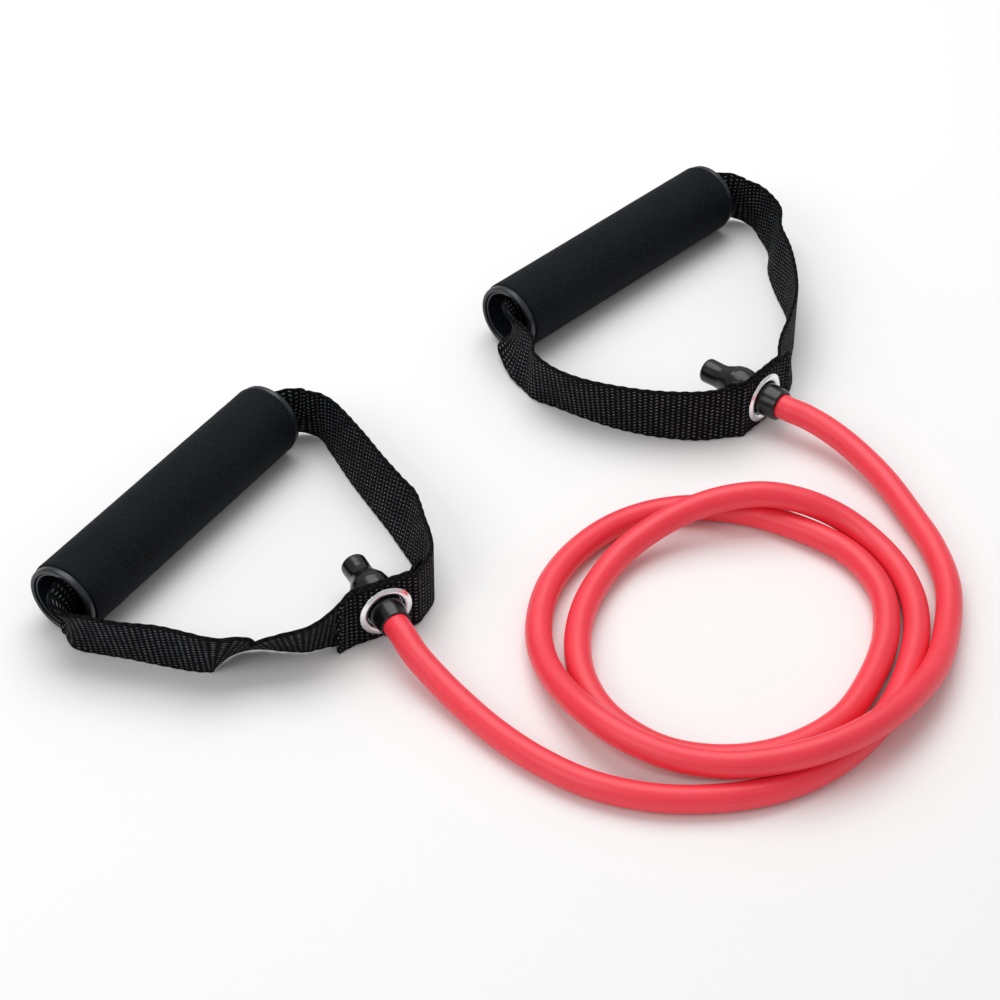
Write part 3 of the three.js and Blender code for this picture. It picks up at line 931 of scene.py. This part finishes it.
# ---- the stopper end ----
@dataclass
class StopperEnd:
    """The sleeve over the tube's end, with the hidden ball and tube end inside it."""

    handle: Handle
    palette: Palette
    body_radius: float = 0.0069
    left_taper: float = 0.0012
    right_taper: float = 0.0005
    soften: float = 0.0009

    def sleeve_outline(self) -> list[tuple[float, float]]:
        """The sleeve's outline, mouth first."""
        body, end = self.body_radius, -SLEEVE_TAIL
        inner = TUBE_OD / 2 + GAP * 0.5
        taper = self.left_taper if self.handle.side is Side.LEFT else self.right_taper
        return [
            (SLEEVE_MOUTH, inner), (SLEEVE_MOUTH, body - taper), (0.0086, body - taper * 0.75),
            (0.0035, body), (-0.0038, body), (-0.0055, body + 0.0003), (-0.0078, body + 0.0008),
            (BALL_AT, body + 0.0010), (-0.0132, body + 0.0006), (-0.0158, body - 0.0006),
            (-0.0182, 0.0053), (-0.0205, 0.0050), (end + 0.003, 0.0051), (end + 0.0010, 0.0051),
            (end, 0.0041), (end, 0.0), (end + 0.0012, 0.0), (end + 0.0012, 0.0044),
            (-0.018, 0.0044), (-0.0144, 0.0061), (BALL_AT, 0.0067), (-0.0074, 0.0063),
            (-0.005, inner),
        ]

    def build(self) -> None:
        """Makes the sleeve and dresses what is inside it."""
        side = self.handle.side.value
        bm = lathe(self.sleeve_outline(), self.soften, 4)
        bmesh.ops.transform(bm, matrix=self.handle.eye_place(), verts=bm.verts)
        sleeve = to_object(bm, f"{side}_sleeve_rubber", self.palette.stopper)
        declare(sleeve, Slot.STOPPER, f"{side}_end", f"{side}_stopper_sleeve")
        for node, finish in (("tube_end", self.palette.tube), ("stopper_ball", self.palette.ball)):
            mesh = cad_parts[f"{side}_{node}"].data
            mesh.materials.clear()
            mesh.materials.append(finish)


# ---- the eyelet ----
@dataclass
class Eyelet:
    """The domed eyelet through both layers of webbing, and its washer behind them."""

    handle: Handle
    palette: Palette
    bore: float = 0.0072
    wall: float = 0.0005
    rim: float = 0.0105
    washer: float = 0.0008
    front: float = STRAP_THICKNESS + GAP * 1.5
    soften: float = 0.00018
    crisp: float = 50.0

    def build(self) -> None:
        """Makes the eyelet and the washer."""
        side = self.handle.side.value
        back = -self.front - self.washer
        lip, crown, bore, rim = back - GAP, self.front + 0.0011, self.bore, self.rim
        barrel = bore + self.wall
        domed = [
            (lip - 0.00065, bore + 0.0005), (lip - 0.00065, bore + 0.0014), (lip, bore + 0.0018),
            (lip, barrel), (self.front, barrel), (self.front, rim), (self.front + 0.00025, rim),
            (crown - 0.0005, rim - 0.0006), (crown - 0.0001, rim - 0.0012), (crown, rim - 0.0018),
            (crown - 0.0002, bore + 0.0008), (crown - 0.0006, bore + 0.0002),
            (crown - 0.0012, bore), (lip - 0.0002, bore),
        ]
        flat = [
            (back, bore + 0.0008), (back, rim), (-self.front, rim), (-self.front, bore + 0.0008),
        ]
        for name, outline, node in (
            ("domed_eyelet", domed, "eyelet"), ("flat_washer", flat, "eyelet_washer"),
        ):
            bm = lathe(outline, self.soften)
            bmesh.ops.transform(bm, matrix=self.handle.eye_place(), verts=bm.verts)
            obj = to_object(bm, f"{side}_{name}", self.palette.metal, self.crisp)
            declare(obj, Slot.EYELET, f"{side}_loop", f"{side}_{node}")


# ---- the webbing loop ----
@dataclass
class WebbingLoop:
    """The webbing from the eyelet, through the grip and back to the eyelet."""

    handle: Handle
    palette: Palette
    columns: int = 20
    step: float = 0.0006
    scallop: float = 0.0049  # from one scallop of the edge to the next
    dip: float = 0.00035  # how deep a scallop is
    clear: float = 0.0002  # under the lower edge
    straight: float = 0.01  # curls under this, in 1/m, count as flat
    hole: float = 0.0088
    hole_depth: float = 0.006
    soft_edge: float = 0.0004
    bead: float = 0.00095
    bead_inset: float = 0.0007
    bead_steps: int = 30
    bead_sides: int = 12
    yarns: int = 9
    yarn_steps: int = 7
    yarn: float = 0.00013

    def __post_init__(self) -> None:
        """Lays the webbing's route and the way it leans and cups along it."""
        points, shapes = [], []
        for place, along, across, degrees, cup in self.handle.stations:
            lean = math.radians(degrees)
            flat = self.handle.placed(place, along, across)
            points.append(Vector((flat.x, flat.y, self.height(lean, cup))))
            shapes.append(Vector((lean, cup * STRAP_CUP, 0.0)))
        self.route = Route(points, divisions=1000)
        self.shape = Route(shapes, even=True, divisions=2)

    def height(self, lean: float, cup: float) -> float:
        """How high the webbing's middle is: on edge on the floor, or on the grip's axis."""
        standing = (STRAP_WIDTH * math.cos(lean) + STRAP_THICKNESS * abs(math.sin(lean))) / 2
        share = min(1.0, cup * cup * 1.5)
        return (standing + self.clear) * (1.0 - share) + FOAM_OD / 2 * share

    def bent(self, y: float, u: float, off: float = 0.0) -> Vector:
        """Where a point of the flat webbing goes.

        Args:
            y: how far it is from the webbing's middle line.
            u: its share of the webbing's length.
            off: how far it stands off the webbing's face.

        Returns:
            The point.
        """
        t = self.route.share(u)
        lean, curl, _ = self.shape.at(t)
        along = self.route.along(t)
        level = Vector((-along.y, along.x, 0.0)).normalized()
        up = along.cross(level)
        flat = abs(curl) < self.straight
        reach = y if flat else math.sin(y * curl) / curl
        sag = 0.0 if flat else (1.0 - math.cos(y * curl)) / curl
        tilt = lean - y * curl
        point = self.route.at(t)
        point += up * (reach * math.cos(lean) - sag * math.sin(lean) - off * math.sin(tilt))
        point += level * (reach * math.sin(lean) + sag * math.cos(lean) + off * math.cos(tilt))
        return point

    def web(self) -> bmesh.types.BMesh:
        """The webbing's middle sheet, with its scalloped edges and the eyelet's hole."""
        length = self.route.length
        rows = round(length / self.step)
        bm = strip(STRAP_WIDTH, length, self.columns, rows)
        for vert in bm.verts:
            y = vert.co.x - STRAP_WIDTH / 2
            edge = abs(2 * y / STRAP_WIDTH) ** 6
            wave = 0.5 - 0.5 * math.cos(math.tau * vert.co.y / self.scallop)
            y -= math.copysign(self.dip * edge * wave, y)
            vert.co = self.bent(y, vert.co.y / length)
        axis, middle = heading(self.handle.exit), self.handle.on_axis(0.0)
        gone = []
        for face in bm.faces:
            away = face.calc_center_median() - middle
            out = away.dot(axis)
            if (away - axis * out).length < self.hole and abs(out) < self.hole_depth:
                gone.append(face)
        bmesh.ops.delete(bm, geom=gone, context="FACES")
        return bm

    def sealed_end(self, name: str, u: float) -> bpy.types.Object:
        """The heat-sealed bead along one cut end."""
        half, steps = STRAP_WIDTH / 2 - self.bead_inset, self.bead_steps
        points = [self.bent(-half + 2 * half * i / steps, u) for i in range(steps + 1)]
        draw = random.Random(name)
        lumps = [self.bead * draw.uniform(0.92, 1.08) for _ in points]
        bead = sweep(rings(points), lambda share: lumps[round(share * steps)], self.bead_sides)
        return to_object(bead, name, self.palette.webbing)

    def loose_threads(self, name: str) -> bpy.types.Object:
        """A small tuft of yarns that has come out of the last cut end."""
        draw = random.Random(name)
        ahead = self.route.along(1.0)
        level = Vector((ahead.y, -ahead.x, 0.0)).normalized()
        off = STRAP_THICKNESS * -0.3
        tuft = bmesh.new()
        for _ in range(self.yarns):
            start = self.bent(draw.uniform(-0.001, 0.0035), 0.9985, off)
            lift, reach = draw.uniform(-0.9, 0.9), draw.uniform(0.0020, 0.0044)
            curl = draw.uniform(-0.5, 0.5)
            points = []
            for i in range(self.yarn_steps + 1):
                share = i / self.yarn_steps
                turn = lift + curl * share
                step = ahead * math.cos(turn) + Vector((0.0, 0.0, math.sin(turn)))
                out = 0.0006 * math.sin(math.pi * share)
                points.append(start + step * reach * share + level * out)
            yarn = sweep(rings(points), lambda share: self.yarn - 0.00005 * share, 6)
            mesh = bpy.data.meshes.new("yarn")
            yarn.to_mesh(mesh)
            yarn.free()
            tuft.from_mesh(mesh)
            bpy.data.meshes.remove(mesh)
        return to_object(tuft, name, self.palette.yarn)

    def build(self) -> None:
        """Makes the webbing, its sealed ends and the left one's loose threads."""
        side = self.handle.side.value
        obj = to_object(self.web(), f"{side}_webbing_loop", self.palette.webbing, 80.0)
        wall = obj.modifiers.new("thickness", "SOLIDIFY")
        wall.thickness, wall.offset, wall.use_even_offset = STRAP_THICKNESS, 0.0, False
        edge = obj.modifiers.new("soft_edge", "BEVEL")
        edge.width, edge.segments, edge.limit_method = self.soft_edge, 2, "ANGLE"
        edge.angle_limit = math.radians(60)
        declare(obj, Slot.WEBBING, f"{side}_loop", f"{side}_strap")
        for name, u in (("first", 0.0008), ("last", 0.9992)):
            bead = self.sealed_end(f"{side}_sealed_end_{name}", u)
            declare(bead, Slot.WEBBING, f"{side}_loop")
        if self.handle.side is Side.LEFT:
            declare(self.loose_threads(f"{side}_loose_threads"), Slot.WEBBING, f"{side}_loop")
        log.info("%s webbing is %.0f mm long", side, self.route.length * 1000)


# ---- the grip ----
@dataclass
class FoamGrip:
    """The foam grip on its core, with a collar at each end."""

    handle: Handle
    palette: Palette
    edge: float = 0.0011  # the rounding of the foam's ends
    spans: int = 26
    uneven: float = 0.00006

    def foam_outline(self) -> list[tuple[float, float]]:
        """The foam's outline, stepped inside for the collars' sleeves."""
        start = COLLAR_FLANGE + GAP / 2
        end = GRIP_LENGTH - start
        outer, inner = FOAM_OD / 2, CORE_OD / 2 + GAP / 2
        counter = COLLAR_SLEEVE_OD / 2 + GAP / 2
        step = COLLAR_FLANGE + COLLAR_SLEEVE + GAP
        length = end - start - 2 * self.edge
        skin = []
        draw = random.Random(7)
        for i in range(self.spans + 1):
            swell = 0.0 if i in (0, self.spans) else draw.uniform(-self.uneven, 0.0)
            skin.append((start + self.edge + length * (i / self.spans), outer + swell))
        arc = [
            (start + self.edge * (1 - math.cos(a)), outer - self.edge * (1 - math.sin(a)))
            for a in (0.0, 0.3, 0.6, 0.9, 1.2)
        ]
        mirror = [(GRIP_LENGTH - x, r) for x, r in reversed(arc)]
        return [
            (start, counter), *arc, *skin, *mirror, (end, counter),
            (GRIP_LENGTH - step, counter), (GRIP_LENGTH - step, inner), (step, inner),
            (step, counter),
        ]

    def collar_outline(self) -> list[tuple[float, float]]:
        """A collar's outline, its outer face at x = 0."""
        bore, rim, sleeve = CORE_OD / 2 + GAP / 2, COLLAR_OD / 2, COLLAR_SLEEVE_OD / 2
        end = COLLAR_FLANGE + COLLAR_SLEEVE
        return [
            (0.0, bore + 0.0003), (0.0, rim - 0.0006), (0.0004, rim - 0.0001), (0.0010, rim),
            (COLLAR_FLANGE, rim), (COLLAR_FLANGE, sleeve), (end, sleeve), (end, bore),
            (0.0004, bore),
        ]

    def core_outline(self) -> list[tuple[float, float]]:
        """The core tube's outline."""
        end = GRIP_LENGTH - CORE_RECESS
        return [
            (CORE_RECESS, CORE_BORE / 2), (CORE_RECESS, CORE_OD / 2),
            (end, CORE_OD / 2), (end, CORE_BORE / 2),
        ]

    def placed(
        self, bm: bmesh.types.BMesh, name: str, finish: bpy.types.Material
    ) -> bpy.types.Object:
        """Puts a piece of the grip in its place."""
        bmesh.ops.transform(bm, matrix=self.handle.grip_place(), verts=bm.verts)
        return to_object(bm, f"{self.handle.side.value}_{name}", finish)

    def build(self) -> None:
        """Makes the foam, the core and the two collars."""
        side = self.handle.side.value
        body = f"{side}_grip"
        foam = self.placed(lathe(self.foam_outline()), "foam_sleeve", self.palette.foam)
        declare(foam, Slot.FOAM, body, f"{side}_foam_grip")
        core = self.placed(lathe(self.core_outline(), 0.00025), "core_tube", self.palette.core)
        declare(core, Slot.CORE, body, f"{side}_grip_core")
        for end in ("near", "far"):
            bm = lathe(self.collar_outline(), 0.0002)
            if end == "far":
                turn = Matrix.Translation((GRIP_LENGTH, 0, 0)) @ Matrix.Rotation(math.pi, 4, "Z")
                bmesh.ops.transform(bm, matrix=turn, verts=bm.verts)
            collar = self.placed(bm, f"{end}_end_collar", self.palette.collar)
            declare(collar, Slot.COLLAR, body, f"{side}_{end}_collar")


def main() -> None:
    """Builds the whole band, one sub-assembly after another."""
    logging.basicConfig(level=logging.INFO, format="%(name)s: %(message)s")
    studio = Studio()
    studio.camera()
    palette = Palette()
    TubeCord(palette).build()
    for handle in (LEFT, RIGHT):
        StopperEnd(handle, palette).build()
        Eyelet(handle, palette).build()
        WebbingLoop(handle, palette).build()
        FoamGrip(handle, palette).build()
    studio.light()


if __name__ == "__main__":
    main()
